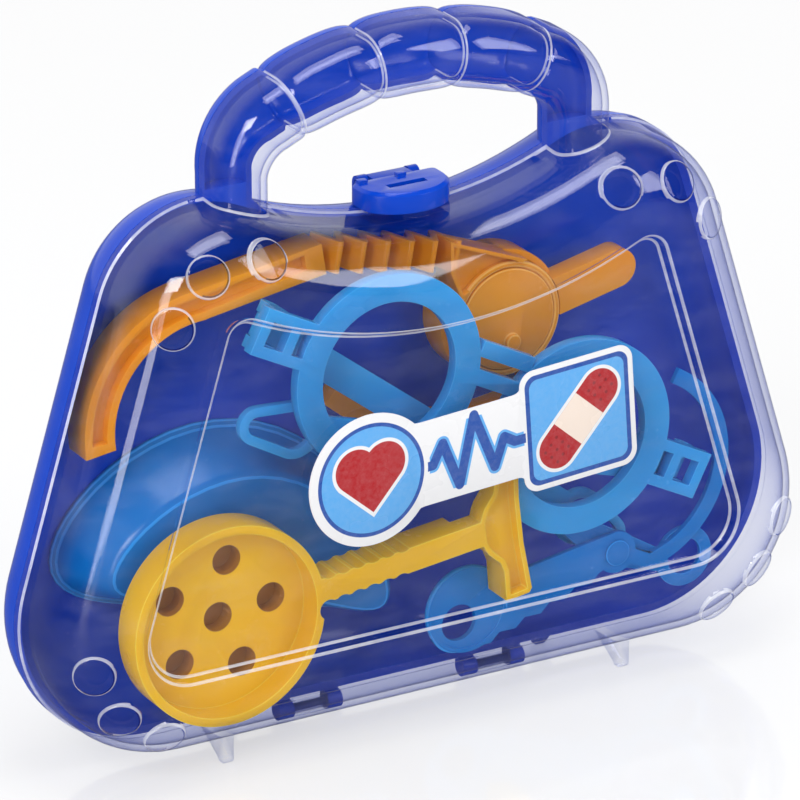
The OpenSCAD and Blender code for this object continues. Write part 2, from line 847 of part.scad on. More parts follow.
// Kidney outline: an ellipse, fatter at one end, whose ends curl down
function kidney(inset) =
    let (a = dish[0] - inset, b = dish[1] - inset, steps = 48)
        [for (i = [0:steps - 1])
            let (t = 360 * i / steps, u = cos(t))
                [a * u, b * (1 - dish_uneven * u) * sin(t) - dish_bend * u * u]];

function kidney_rings(levels) =
    [for (level = levels) [level[0], [for (p = kidney(level[1]))
        [dish_c[0] + p[0] * cos(dish_tilt) - p[1] * sin(dish_tilt),
            dish_c[1] + p[0] * sin(dish_tilt) + p[1] * cos(dish_tilt)]]]];

module kidney_dish() {
    floor_y = back_floor_y - dish_d;
    lip_w = 1.6;
    lip_d = 1.4;
    color(dish_blue)
        place()
            minkowski() {
                difference() {
                    skin(kidney_rings([[back_floor_y, 0], [back_floor_y - lip_d, 0],
                        [back_floor_y - lip_d - 0.2, lip_w], [floor_y + 1.5, dish_taper - 0.6],
                        [floor_y, dish_taper + 1]]));
                    skin(kidney_rings([[back_floor_y + 1, lip_w + dish_t],
                        [back_floor_y - lip_d, lip_w + dish_t], [floor_y + 2.4, dish_taper + 0.8],
                        [floor_y + dish_t, dish_taper + 2]]));
                }
            }
}

// ---------- toy hammer ----------

// Turns children in the X and Z plane about point c, from +X towards +Z
module rotate_about(c, a) {
    translate([c[0], 0, c[1]])
        rotate([0, -a, 0])
            translate([-c[0], 0, -c[1]])
                children();
}

module cup_cylinder(r, y, d) {
    translate([cup_c[0], y + d, cup_c[1]])
        rotate([90, 0, 0])
            cylinder(r = r, h = d, $fn = 96);
}

function mirror_across(p, a) =
    [p[0] * cos(2 * a) + p[1] * sin(2 * a), p[0] * sin(2 * a) - p[1] * cos(2 * a)];

// Head of the hammer seen from the front: a stepped edge below the bar, mirrored above it
module head_outline(grow) {
    below = [[1, -2.5], [2, -4.5], [3, -6], [6.2, -8.8], [7.3, -11.4], [8, -19.4], [14.5, -18.4],
        [15.2, -17.2], [12.7, -4.5]];
    above = [for (i = [len(below) - 1:-1:0]) mirror_across(below[i], bar_slope)];
    translate(head_c)
        offset(delta = grow)
            polygon(concat(below, above));
}

module reflex_hammer() {
    cup_wall = 2.2;
    floor_t = 2.2;
    back_t = 1.2;
    run = bar_to - bar_from;
    scallops = 6;
    scallop_from = 0.105;
    scallop_step = 0.085;
    scallop_bite = 0.5;
    hole_turn = 8;
    relief = [30, cup_d, 34];
    web_y = hammer_y + 3;
    color(yellow)
        place() {
            difference() {
                union() {
                    cup_cylinder(cup_r, hammer_y, cup_d);
                    cup_cylinder(cup_r - cup_wall, hammer_y + cup_d - fuse, back_t + fuse);
                    rib(bar_from, bar_to + [2, 0.2], bar_h, hammer_y, cup_d, ends = false);
                    slab(hammer_y, cup_d)
                        head_outline(0);
                }
                cup_cylinder(cup_r - cup_wall, hammer_y - 1, cup_d - floor_t + 1);
                cup_cylinder(hole_r, hammer_y - 1, cup_d + 1);
                for (i = [1:5])
                    rotate_about(cup_c, hole_turn + 72 * i)
                        translate([hole_ring_r, 0, 0])
                            cup_cylinder(hole_r, hammer_y - 1, cup_d + 1);
                for (i = [0:scallops - 1], edge = [-1, 1])
                    slab(hammer_y - 1, cup_d + 2)
                        translate(bar_from + run * (scallop_from + i * scallop_step)
                                + [0, edge * (bar_h / 2 + scallop_r - scallop_bite)])
                            circle(r = scallop_r, $fn = 24);
                slab(hammer_y - 1, web_y - hammer_y + 1)
                    head_outline(-1.3);
                translate([head_c[0] - 5, head_relief_y, head_c[1] - 9])
                    cube(relief);
            }
        }
}

// ---------- scissors ----------

module finger_loop(c) {
    translate(c)
        difference() {
            circle(r = loop_r[0], $fn = fine);
            circle(r = loop_r[1], $fn = fine);
        }
}

module scissors_half_a() {
    steps = 5;
    from = [17, 5.5];
    to = [53, 17.5];
    blade_from = -78;
    blade_to = 62;
    stairs = [for (i = [0:steps - 1]) each [from + (to - from) * i / steps,
        from + (to - from) * (i + 0.65) / steps - [0, 1.6]]];
    blade_start = blade_c + blade_arc_r * [cos(blade_from), sin(blade_from)];
    color(dish_blue)
        place() {
            difference() {
                union() {
                    slab(half_a_y, half_t) {
                        finger_loop(loop_a_c);
                        difference() {
                            polygon(concat([loop_a_c + [1, 7.4]], stairs,
                                [to, pivot_c + [4.6, 0], pivot_c + [0, 5.5]]));
                            translate(loop_a_c)
                                circle(r = loop_r[0] - 1, $fn = fine);
                        }
                        translate(pivot_c)
                            circle(r = 5.5, $fn = fine);
                    }
                    band_arc(blade_c, blade_arc_r + blade_w / 2, blade_w,
                        blade_from, blade_to, half_a_y, half_t);
                    rib(pivot_c, blade_start, blade_w, half_a_y, half_t);
                }
                slab(half_a_y - 1, half_t + 2)
                    translate(pivot_c)
                        circle(r = rivet_r, $fn = medium);
            }
        }
}

module scissors_half_b() {
    tip = pivot_c + [-26, 19];
    color(dish_blue)
        place()
            difference() {
                slab(half_b_y, half_t) {
                    finger_loop(loop_b_c);
                    translate(pivot_c)
                        circle(r = 5, $fn = fine);
                    polygon([pivot_c + [1, -4.8], loop_b_c - [loop_r[0] - 2, 3],
                        loop_b_c - [loop_r[0] - 1.5, -3], pivot_c + [3, 4]]);
                    polygon([pivot_c + [2.5, 4.2], tip + [1, 1.5], tip, pivot_c + [-3, -4]]);
                }
                slab(half_b_y - 1, half_t + 2)
                    translate(pivot_c)
                        circle(r = rivet_r + play, $fn = medium);
            }
}

module scissors_rivet() {
    head_r = 3.4;
    head_t = 0.7;
    front = half_a_y - head_t;
    back = half_b_y + half_t + 0.1;
    color(dish_blue)
        place() {
            slab(front, head_t)
                translate(pivot_c)
                    circle(r = head_r, $fn = medium);
            slab(front, back - front + head_t)
                translate(pivot_c)
                    circle(r = rivet_r, $fn = medium);
            slab(back, head_t)
                translate(pivot_c)
                    circle(r = head_r, $fn = medium);
        }
}

back_shell();
clear_cover();
latch();
label();
stethoscope_headset();
chest_piece();
diaphragm();
glasses_frame();
glasses_temple_left();
glasses_temple_right();
kidney_dish();
reflex_hammer();
scissors_half_a();
scissors_half_b();
scissors_rivet();
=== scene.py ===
"""Toy doctor case: looks for the bag-shaped box, its clear cover and the toy instruments inside."""

from math import acos, asin, atan2, cos, pi, radians, sin, sqrt

import bmesh
import bpy
from mathutils import Matrix, Vector


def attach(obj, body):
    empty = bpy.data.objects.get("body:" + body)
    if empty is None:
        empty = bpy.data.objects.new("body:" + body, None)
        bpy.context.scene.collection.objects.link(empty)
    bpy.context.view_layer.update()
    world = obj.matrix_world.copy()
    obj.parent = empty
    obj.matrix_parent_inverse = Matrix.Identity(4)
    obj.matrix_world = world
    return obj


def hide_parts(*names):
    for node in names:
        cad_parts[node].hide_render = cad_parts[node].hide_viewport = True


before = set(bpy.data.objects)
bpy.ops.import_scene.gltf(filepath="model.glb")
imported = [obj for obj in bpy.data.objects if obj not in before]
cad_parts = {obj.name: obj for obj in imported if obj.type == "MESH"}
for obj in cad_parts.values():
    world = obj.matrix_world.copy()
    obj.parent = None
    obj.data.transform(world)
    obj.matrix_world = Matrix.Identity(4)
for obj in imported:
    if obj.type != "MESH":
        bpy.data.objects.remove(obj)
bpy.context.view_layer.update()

# Everything is drawn on a board in millimetres: X across, Y up the case, Z out of the front.
# Height 0 is the body's bottom edge and depth 0 is the seam between the two halves.
SEAM_Y, FOOT_H = 5.015, 6.0
TO_FRAME = (
    Matrix.Scale(0.001, 4)
    @ Matrix.Translation((0, SEAM_Y, FOOT_H))
    @ Matrix.Rotation(pi / 2, 4, "X")
)

# Bag outline
BODY_W, BODY_H, WALL = 210.0, 135.0, 1.6
CORNER_R, SHOULDER_R, SHOULDER_X, DIP = 34.5, 28.0, 55.1, 12.0
CORNER_X, SHOULDER_Y = BODY_W / 2 - CORNER_R, BODY_H - SHOULDER_R
FLANK = Vector((CORNER_X - SHOULDER_X, CORNER_R - SHOULDER_Y))
FLANK_A = atan2(FLANK.y, FLANK.x) + acos((SHOULDER_R - CORNER_R) / FLANK.length)
SADDLE_R = (SHOULDER_X**2 + DIP**2) / (2 * DIP) - SHOULDER_R
SADDLE_Y = BODY_H - DIP + SADDLE_R
SADDLE_A = atan2(SADDLE_Y - SHOULDER_Y, -SHOULDER_X)
CORNER_STEPS, SHOULDER_STEPS, SADDLE_STEPS = 26, 22, 12

# Depths of the two halves
COVER_D, COVER_EDGE, DRAFT = 25.5, 16.0, 0.4
PANEL_INSET, PANEL_D = 22.6, 2.4
BACK_D, BACK_EDGE = 16.5, 13.5
BEAD_W, BEAD_H, SEAM_GAP = 2.0, 0.5, 0.2
SEAM = SEAM_GAP / 2

# Handle: half widths of the legs, the bow, its grooves and the bulges between them
LEG_X, HANDLE_TOP, BEND_R, BOW_R = 47.0, 162.4, 15.0, 88.0
LEG_HALF, BOW_HALF, GROOVE_HALF, BULGE_HALF = 7.1, 8.9, 7.5, 9.3
GROOVES = (11.0, 33.5)
HANDLE_FRONT, HANDLE_BACK = 13.0, 6.5
BEND_X, BOW_Y = LEG_X - BEND_R, HANDLE_TOP - BOW_R
BEND_A = acos(BEND_X / (BOW_R - BEND_R))
BEND_Y = BOW_Y + sqrt((BOW_R - BEND_R) ** 2 - BEND_X**2)
GROOVE_TURNS = [asin(x / BOW_R) for x in GROOVES]
CREASE_A = 0.3 / BOW_R
BOW_STEPS, BEND_STEPS, SECTION_STEPS = 90, 14, 20
BAR_FOOT, COVER_HOLLOW_FOOT, BACK_HOLLOW_FOOT = BODY_H - 17, BODY_H - 14, BODY_H + 1.2

# Hinge at the bottom: knuckles on the cover, lugs and pins on the back
HINGE_XS, HINGE_Y = (-26, 26), -3.2
KNUCKLE_R, KNUCKLE_W, BORE_R = 2.3, 9, 1.25
LUG_W, LUG_GAP, PIN_R, PIN_W = 4, 0.25, 1.0, 13
WEB_H, WEB_D, WEB_Y, WEB_OUT = 4.0, 2.0, -1.2, 1.3

ACROSS = Matrix.Rotation(pi / 2, 4, "Y")


# ---------- mesh helpers ----------


def go_round(bm, vert, centre, angle, steps):
    """Draws an arc from vert about centre on the board and returns its last vertex."""
    cent = (centre[0], centre[1], vert.co.z)
    made = bmesh.ops.spin(
        bm, geom=[vert], cent=cent, axis=(0, 0, 1), angle=angle, steps=steps
    )
    return next(g for g in made["geom_last"] if isinstance(g, bmesh.types.BMVert))


def go_to(bm, vert, place):
    """Draws a straight line from vert to a place on the board and returns its end."""
    end = bmesh.ops.extrude_vert_indiv(bm, verts=[vert])["verts"][0]
    bmesh.ops.translate(bm, verts=[end], vec=Vector(place) - end.co)
    return end


def on_arc(centre, r, a, z):
    """The place at angle a on a circle of the board."""
    return centre[0] + r * cos(a), centre[1] + r * sin(a), z


def fill(bm, edges, up=True):
    """Closes a flat loop of edges with a face that looks out of the front, or into the case."""
    face = bmesh.ops.contextual_create(bm, geom=edges)["faces"][0]
    face.normal_update()
    if (face.normal.z > 0) != up:
        face.normal_flip()
    return face


def bag_face(bm, inset, depth):
    """The bag's outline, set in by inset, as one face at a depth."""
    start = bmesh.ops.create_vert(bm, co=(0, inset, depth))["vert"][0]
    v = go_to(bm, start, (CORNER_X, inset, depth))
    v = go_round(bm, v, (CORNER_X, CORNER_R), pi / 2 + FLANK_A, CORNER_STEPS)
    shoulder = (SHOULDER_X, SHOULDER_Y)
    v = go_to(bm, v, on_arc(shoulder, SHOULDER_R - inset, FLANK_A, depth))
    v = go_round(bm, v, shoulder, SADDLE_A - FLANK_A, SHOULDER_STEPS)
    go_round(bm, v, (0, SADDLE_Y), pi / 2 - SADDLE_A, SADDLE_STEPS)
    bmesh.ops.mirror(bm, geom=bm.verts[:] + bm.edges[:], axis="X", merge_dist=1e-3)
    bmesh.ops.remove_doubles(bm, verts=bm.verts, dist=1e-3)
    return fill(bm, bm.edges[:])


def quarter_round(r, steps):
    """Steps (set in, outwards) round a quarter circle, from a wall over to a flat front."""
    turns = [pi / 2 * i / steps for i in range(steps + 1)]
    return [
        (r * (cos(a) - cos(b)), r * (sin(b) - sin(a))) for a, b in zip(turns, turns[1:])
    ]


def step_in(bm, face, steps):
    """Sets a face in and moves it outwards, step by step; each step leaves a ring of faces."""
    for inset, out in steps:
        bmesh.ops.inset_region(
            bm,
            faces=[face],
            thickness=inset,
            depth=out,
            use_boundary=True,
            use_even_offset=True,
        )


def bag_solid(inset, depth, steps):
    """A closed bag-shaped solid that starts at a depth and is stepped in to its front."""
    bm = bmesh.new()
    step_in(bm, bag_face(bm, inset, depth), steps)
    rim = [e for e in bm.edges if e.is_boundary]
    fill(bm, rim, up=False)
    return bm


def bulge(t):
    """Half width of the bow at a share t of the way from one groove to the next."""
    return GROOVE_HALF + (BULGE_HALF - GROOVE_HALF) * sqrt(1 - abs(2 * t - 1) ** 4)


def bow_half(x):
    """Half width of the bow at a distance x from its middle."""
    inner, outer = GROOVES
    if x < inner:
        return bulge((x + inner) / (2 * inner))
    if x < outer:
        return bulge((x - inner) / (outer - inner))
    return min(BOW_HALF, GROOVE_HALF + (x - outer) * 2)


def handle_path(foot_y, cut):
    """Stations along the handle: (x, y, direction, half width), left foot to right foot."""
    half = []
    creases = [turn + side * CREASE_A for turn in GROOVE_TURNS for side in (-1, 1)]
    turns = [(pi / 2 - BEND_A) * i / BOW_STEPS for i in range(BOW_STEPS + 1)]
    for turn in sorted(turns + creases):
        a = pi / 2 - turn
        x = BOW_R * cos(a)
        half.append((x, BOW_Y + BOW_R * sin(a), a - pi / 2, bow_half(x) - cut))
    for i in range(1, BEND_STEPS + 1):
        a = BEND_A * (1 - i / BEND_STEPS)
        w = BOW_HALF + (LEG_HALF - BOW_HALF) * i / BEND_STEPS
        x, y = BEND_X + BEND_R * cos(a), BEND_Y + BEND_R * sin(a)
        half.append((x, y, a - pi / 2, w - cut))
    half.append((LEG_X, foot_y, -pi / 2, LEG_HALF - cut))
    return [(-x, y, -a, w) for x, y, a, w in half[:0:-1]] + half


def handle_solid(foot_y, cut, start, depth, side):
    """A D-section bar bent along the handle, from a start depth out to a depth.

    The bar is a grid: its rows run along the handle and its columns go round the section,
    with one column at each side where the section meets the seam.
    """
    path = handle_path(foot_y, cut)
    rows, columns = len(path) - 1, SECTION_STEPS + 2
    bm = bmesh.new()
    bmesh.ops.create_grid(bm, x_segments=rows, y_segments=columns, size=0.5)
    leg_ends = [[v for v in bm.verts if v.co.x * end > 0.4999] for end in (-1, 1)]
    corners = [
        (min(verts, key=lambda v: v.co.y), max(verts, key=lambda v: v.co.y))
        for verts in leg_ends
    ]
    for v in bm.verts:
        x, y, way, w = path[round((v.co.x + 0.5) * rows)]
        at = round((v.co.y + 0.5) * columns)
        out = depth + (w + cut - LEG_HALF) / 2
        crown = min(w, out - 1)
        a = pi * min(max(at - 1, 0), SECTION_STEPS) / SECTION_STEPS
        across = w * cos(a)
        deep = start if at in (0, columns) else out - crown + crown * sin(a)
        v.co = (x - across * sin(way), y + across * cos(way), deep * side)
    for verts, pair in zip(leg_ends, corners):
        edges = [e for e in bm.edges if e.verts[0] in verts and e.verts[1] in verts]
        closing = bmesh.ops.contextual_create(bm, geom=list(pair))["edges"]
        bmesh.ops.contextual_create(bm, geom=edges + closing)
    seam = [e for e in bm.edges if e.is_boundary]
    bmesh.ops.contextual_create(bm, geom=seam)
    bmesh.ops.recalc_face_normals(bm, faces=bm.faces)
    return bm


def block(size, centre, bm=None):
    """A box of a size (X, Y, Z) about a centre, in bm or in a new drawing."""
    bm = bm or bmesh.new()
    made = bmesh.ops.create_cube(bm, size=1)["verts"]
    bmesh.ops.scale(bm, verts=made, vec=size)
    bmesh.ops.translate(bm, verts=made, vec=centre)
    return bm


def rod(r, length, centre, turn=None, segments=32, bm=None):
    """A round rod along Z, turned and moved into place, in bm or in a new drawing."""
    bm = bm or bmesh.new()
    made = bmesh.ops.create_cone(
        bm, cap_ends=True, segments=segments, radius1=r, radius2=r, depth=length
    )["verts"]
    if turn is not None:
        bmesh.ops.transform(bm, verts=made, matrix=turn)
    bmesh.ops.translate(bm, verts=made, vec=centre)
    return bm


def bevelled(bm, edges, offset, segments=2, clamp=False):
    """Rounds edges off and returns the faces that this makes."""
    return bmesh.ops.bevel(
        bm,
        geom=edges,
        offset=offset,
        segments=segments,
        profile=0.5,
        affect="EDGES",
        material=-1,
        clamp_overlap=clamp,
    )["faces"]


def add_to(bm, other):
    """Moves the faces of another drawing into bm."""
    mesh = bpy.data.meshes.new("draft")
    other.to_mesh(mesh)
    other.free()
    bm.from_mesh(mesh)


def in_scene(name, data):
    """A new object in the scene that shows a mesh, lamp or camera."""
    obj = bpy.data.objects.new(name, data)
    bpy.context.scene.collection.objects.link(obj)
    return obj


def temp_object(bm):
    """An object for a Boolean modifier, made of a drawing that is used up."""
    mesh = bpy.data.meshes.new("draft")
    bmesh.ops.recalc_face_normals(bm, faces=bm.faces)
    bm.to_mesh(mesh)
    bm.free()
    return in_scene("draft", mesh)


def combine(base, parts):
    """Joins or cuts solids: parts are (operation, drawing) pairs. Returns a new drawing."""
    target = temp_object(base)
    helpers = []
    for operation, bm in parts:
        helper = temp_object(bm)
        helpers.append(helper)
        mod = target.modifiers.new(operation, "BOOLEAN")
        mod.operation, mod.object, mod.solver = operation, helper, "MANIFOLD"
    graph = bpy.context.evaluated_depsgraph_get()
    mesh = bpy.data.meshes.new_from_object(target.evaluated_get(graph))
    out = bmesh.new()
    out.from_mesh(mesh)
    for obj in helpers + [target]:
        bpy.data.objects.remove(obj)
    return out


def mark(bm, test, finish=1):
    """Gives the faces that pass a test another of the piece's finishes."""
    for f in bm.faces:
        if test(f.calc_center_median(), f.normal, f.calc_area()):
            f.material_index = finish
    return bm


SMOOTH_BELOW = radians(32)


def finished(name, bm, finishes, body, node, slot, on_board=True):
    """Makes a piece of a drawing: puts it in the frame, smooths it and lets it ride."""
    if on_board:
        bmesh.ops.transform(bm, verts=bm.verts, matrix=TO_FRAME)
    mesh = bpy.data.meshes.new(name)
    bm.to_mesh(mesh)
    bm.free()
    mesh.polygons.foreach_set("use_smooth", [True] * len(mesh.polygons))
    mesh.set_sharp_from_angle(angle=SMOOTH_BELOW)
    for finish in finishes:
        mesh.materials.append(finish)
    obj = in_scene(name, mesh)
    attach(obj, body)
    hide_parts(node)


def is_sharp(edge, degrees):
    """Whether two faces meet at an edge and turn there by more than an angle."""
    return len(edge.link_faces) == 2 and edge.calc_face_angle() > radians(degrees)


def softened(node, width, painted_highlight_rims=False):
    """A copy of a CAD node whose sharp edges are rounded, as a moulded piece has them. When asked,
    the rounded faces take the piece's lighter second finish, a painted highlight.
    """
    bm = bmesh.new()
    bm.from_mesh(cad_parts[node].data)
    bmesh.ops.remove_doubles(bm, verts=bm.verts, dist=2e-6)
    bmesh.ops.dissolve_limit(
        bm, angle_limit=radians(0.6), verts=bm.verts, edges=bm.edges
    )
    rounded = bevelled(bm, [e for e in bm.edges if is_sharp(e, 30)], width * 0.001, clamp=True)
    if painted_highlight_rims:
        for f in rounded:
            f.material_index = 1
    return bm


def to_board(bm):
    """Brings a drawing from the frame back to the board."""
    bmesh.ops.transform(bm, verts=bm.verts, matrix=TO_FRAME.inverted())
    return bm


# ---------- shader helpers ----------


class Socket:
    """A node's output, with arithmetic that adds Math nodes."""

    def __init__(self, finish, link):
        self.finish, self.link = finish, link

    def maths(self, operation, *values):
        return self.finish.add(
            "ShaderNodeMath", {"operation": operation}, dict(enumerate(values))
        )

    def __add__(self, other):
        return self.maths("ADD", self, other)

    __radd__ = __add__

    def __sub__(self, other):
        return self.maths("SUBTRACT", self, other)

    def __rsub__(self, other):
        return self.maths("SUBTRACT", other, self)

    def __mul__(self, other):
        return self.maths("MULTIPLY", self, other)

    __rmul__ = __mul__

    def __truediv__(self, other):
        return self.maths("DIVIDE", self, other)

    def __abs__(self):
        return self.maths("ABSOLUTE", self)

    def root(self):
        return self.maths("SQRT", self)

    def folded(self, reach):
        """The value sent to and fro between 0 and reach."""
        return self.maths("PINGPONG", self, reach)

    def least(self, other):
        return self.maths("MINIMUM", self, other)

    def most(self, other):
        return self.maths("MAXIMUM", self, other)

    def ranged(self, low, high, to_low=0.0, to_high=1.0, kind="LINEAR"):
        """The value moved from one range into another, and held at its ends."""
        return self.finish.add(
            "ShaderNodeMapRange",
            {"interpolation_type": kind},
            {
                "Value": self,
                "From Min": low,
                "From Max": high,
                "To Min": to_low,
                "To Max": to_high,
            },
        )

    def below(self, edge, soft):
        """1 where the value is under edge, 0 above it, with a soft step between."""
        return self.ranged(edge - soft, edge + soft, 1.0, 0.0, "SMOOTHSTEP")


class Finish:
    """A material, or the room round the object, built from nodes."""

    def __init__(self, name, holder=None, output="ShaderNodeOutputMaterial"):
        self.holder = holder or bpy.data.materials.new(name)
        self.holder.use_nodes = True
        self.tree = self.holder.node_tree
        self.tree.nodes.clear()
        self.output = self.tree.nodes.new(output)
        self._place = None

    def add(self, kind, settings=(), inputs=(), output=0):
        """Adds a node, sets it up, fills or links its sockets and returns one of its outputs."""
        node = self.tree.nodes.new(kind)
        for key, value in dict(settings).items():
            setattr(node, key, value)
        for key, value in dict(inputs).items():
            socket = node.inputs[key]
            if isinstance(value, Socket):
                self.tree.links.new(value.link, socket)
            elif isinstance(value, tuple) and len(value) == 3 and socket.type == "RGBA":
                socket.default_value = (*value, 1)
            else:
                socket.default_value = value
        return Socket(self, node.outputs[output])

    def place(self):
        """Where a point is on the object, in metres."""
        if self._place is None:
            self._place = self.add("ShaderNodeTexCoord", output="Object")
        return self._place

    def noise(self, scale, detail=2.0, rough=0.5, stretch=None, seed=(0, 0, 0)):
        """Noise over the object: scale is in spots per metre."""
        where = self.place()
        if stretch or seed != (0, 0, 0):
            where = self.add(
                "ShaderNodeMapping",
                inputs={"Vector": where, "Scale": stretch or (1, 1, 1), "Location": seed},
            )
        return self.add(
            "ShaderNodeTexNoise",
            inputs={"Vector": where, "Scale": scale, "Detail": detail, "Roughness": rough},
        )

    def mix(self, share, a, b):
        """Mixes two colours: a where share is 0, b where it is 1."""
        return self.add(
            "ShaderNodeMix",
            {"data_type": "RGBA"},
            {"Factor": share, 6: a, 7: b},
            output=2,
        )

    def bump(self, height, strength, distance):
        """Bumps of a height; distance is how high a height of 1 is, in metres."""
        return self.add(
            "ShaderNodeBump",
            inputs={"Height": height, "Strength": strength, "Distance": distance},
        )

    def shader(self, **inputs):
        """The Principled shader: an underscore stands for the space in a socket's name."""
        names = {key.replace("_", " "): value for key, value in inputs.items()}
        return self.add("ShaderNodeBsdfPrincipled", inputs=names)

    def ray(self, kind):
        """1 for a kind of ray, such as Camera, and 0 for the others."""
        return self.add("ShaderNodeLightPath", output="Is " + kind + " Ray")

    def blend(self, share, a, b):
        """Mixes two shaders: a where share is 0, b where it is 1."""
        return self.add("ShaderNodeMixShader", inputs={0: share, 1: a, 2: b})

    def show(self, shader):
        self.tree.links.new(shader.link, self.output.inputs["Surface"])
        return self.holder


def moulded(name, colour, deep, gloss=0.28, seed=(0, 0, 0), glow=0.0):
    """Injection-moulded plastic: faint flow marks, a fine skin, scuffs and uneven gloss.

    glow is how far light gets into the plastic, which softens its shadows.
    """
    f = Finish(name)
    flow = f.noise(22, 3, 0.55, stretch=(1, 1, 2.2), seed=seed)
    skin = f.noise(1400, 2, 0.6)
    haze = f.noise(90, 3, 0.6, seed=(3, 1, 2))
    scuffs = f.noise(260, 4, 0.7, stretch=(1, 6, 1), seed=(5, 2, 8)).ranged(0.62, 0.7)
    base = f.mix(flow.ranged(0.3, 0.7), colour, deep)
    rough = haze.ranged(0.25, 0.75, gloss - 0.06, gloss + 0.08) + scuffs * 0.08
    settings = dict(
        Base_Color=base,
        Roughness=rough,
        IOR=1.42,
        Normal=f.bump(skin + haze * 2, 0.12, 0.00012),
    )
    if glow:
        settings.update(
            Subsurface_Weight=glow, Subsurface_Radius=(1.0, 1.0, 1.0), Subsurface_Scale=0.002
        )
    return f.show(f.shader(**settings))


def clear_plastic(name, haze, cloud, edge_tint, face_tint=(0.985, 0.988, 1.0)):
    """Thin clear plastic, which mirrors at a slant and doesn't bend what is seen through it.

    haze is the least and the most share of cloud in it. The tints colour what is seen
    through it at a slant and face on.
    """
    f = Finish(name)
    wave = f.noise(34, 2, 0.5)
    grain = f.noise(420, 2, 0.5)
    smudge = f.noise(60, 4, 0.65, stretch=(1, 1, 3), seed=(4, 4, 4))
    skin = f.bump(wave * 3 + grain * 0.05, 0.05, 0.0006)
    slant = f.add("ShaderNodeLayerWeight", inputs={"Blend": 0.5}, output="Facing")
    slant_2 = slant * slant
    face_on = f.add("ShaderNodeBsdfTransparent", inputs={"Color": face_tint})
    edge_on = f.add("ShaderNodeBsdfTransparent", inputs={"Color": edge_tint})
    through = f.blend((slant_2 * 1.3).least(0.85), face_on, edge_on)
    body = f.shader(
        Base_Color=f.mix(wave.ranged(0.3, 0.7), cloud, (1, 1, 1)),
        Roughness=0.4,
        Normal=skin,
    )
    clouded = f.blend(smudge.ranged(0.45, 0.75, *haze), through, body)
    mirror = f.shader(
        Base_Color=(1, 1, 1),
        Metallic=1.0,
        Roughness=smudge.ranged(0.5, 0.8, 0.03, 0.12),
        Normal=skin,
    )
    mirrored = slant_2 * slant_2 * slant * 0.85 + 0.04
    return f.show(f.blend(mirrored, clouded, mirror))


# ---------- finishes ----------

# Each piece has its main finish first, then a lighter one on its rounded edges, which is painted
# highlight, then a darker one, which is painted shade in the hammer's holes and on the pads' shaded
# rims
ROYAL_BLUE = (
    moulded("royal_blue_moulding", (0.002, 0.056, 0.53), (0.0015, 0.046, 0.47), 0.17),
)

CLOUD = (0.74, 0.77, 0.95)
CLEAR = (
    clear_plastic("clear_moulding", (0.0, 0.015), CLOUD, (0.76, 0.79, 0.96)),
    # Whiter, hazier clear for rims, edges and creases: painted highlight
    clear_plastic("clear_edge_painted_highlight", (0.35, 0.55), (0.88, 0.91, 1.0), (0.70, 0.74, 0.96)),
    # Dark tint for the side of the pads' rims away from the light: painted shade
    clear_plastic("clear_shade", (0.0, 0.1), CLOUD, (0.20, 0.25, 0.55), (0.30, 0.35, 0.62)),
)


def with_painted_edge_highlight(name, seed, glow, face, edge):
    """The finishes of a piece's faces and of its rounded edges, each (colour, deep, gloss); the
    edges' colours are lighter, as painted highlight.
    """
    return (
        moulded(name + "_moulding", *face, seed=seed, glow=glow),
        moulded(name + "_edge", *edge, seed=seed, glow=glow),
    )


# The second colours of each piece are lighter: painted highlight on its rounded edges
SKY_BLUE = with_painted_edge_highlight(
    "sky_blue",
    (1, 2, 3),
    0.3,
    ((0.035, 0.37, 0.74), (0.028, 0.31, 0.70), 0.22),
    ((0.10, 0.50, 0.92), (0.08, 0.46, 0.90), 0.3),
)
DISH_BLUE = with_painted_edge_highlight(
    "dish_blue",
    (2, 1, 5),
    0.2,
    ((0.002, 0.19, 0.56), (0.0015, 0.15, 0.50), 0.2),
    ((0.02, 0.32, 0.80), (0.02, 0.28, 0.76), 0.3),
)
YELLOW = (
    *with_painted_edge_highlight(
        "yellow",
        (6, 2, 1),
        0.2,
        ((0.95, 0.56, 0.010), (0.88, 0.48, 0.008), 0.22),
        ((0.97, 0.70, 0.06), (0.95, 0.66, 0.05), 0.22),
    ),
    # A darker brown for the insides of the hammer's holes: painted shade
    moulded("yellow_hole_painted_shade", (0.50, 0.22, 0.02), (0.42, 0.17, 0.015), 0.4, (6, 2, 1)),
)
ORANGE = with_painted_edge_highlight(
    "orange",
    (7, 3, 1),
    0.2,
    ((0.84, 0.33, 0.016), (0.77, 0.26, 0.012), 0.22),
    ((0.92, 0.47, 0.09), (0.9, 0.43, 0.08), 0.32),
)


# ---------- clear cover ----------

FOOT_W, FOOT_ROUND = 3, 0.35


def feet(xs, reach, side):
    """Small wedge feet: upright outer face, flat tip and a slanting inner face."""
    bm = bmesh.new()
    for x in xs:
        old = set(bm.verts)
        left = x - FOOT_W / 2
        start = bmesh.ops.create_vert(bm, co=(left, 1.5, reach * side))["vert"][0]
        v = start
        for y, d in (
            (-5.2, reach),
            (-FOOT_H, reach - 0.5),
            (-FOOT_H, reach - 2.6),
            (-5.2, reach - 3.2),
            (0, 2.2),
            (1.5, 2.2),
        ):
            v = go_to(bm, v, (left, y, d * side))
        new = [v for v in bm.verts if v not in old]
        edges = list({e for v in new for e in v.link_edges})
        edges += bmesh.ops.contextual_create(bm, geom=[start, v])["edges"]
        face = bmesh.ops.contextual_create(bm, geom=edges)["faces"][0]
        grown = bmesh.ops.extrude_face_region(bm, geom=[face])["geom"]
        moved = [g for g in grown if isinstance(g, bmesh.types.BMVert)]
        bmesh.ops.translate(bm, verts=moved, vec=(FOOT_W, 0, 0))
    bmesh.ops.recalc_face_normals(bm, faces=bm.faces)
    bevelled(bm, bm.edges[:], FOOT_ROUND, clamp=True)
    return bm


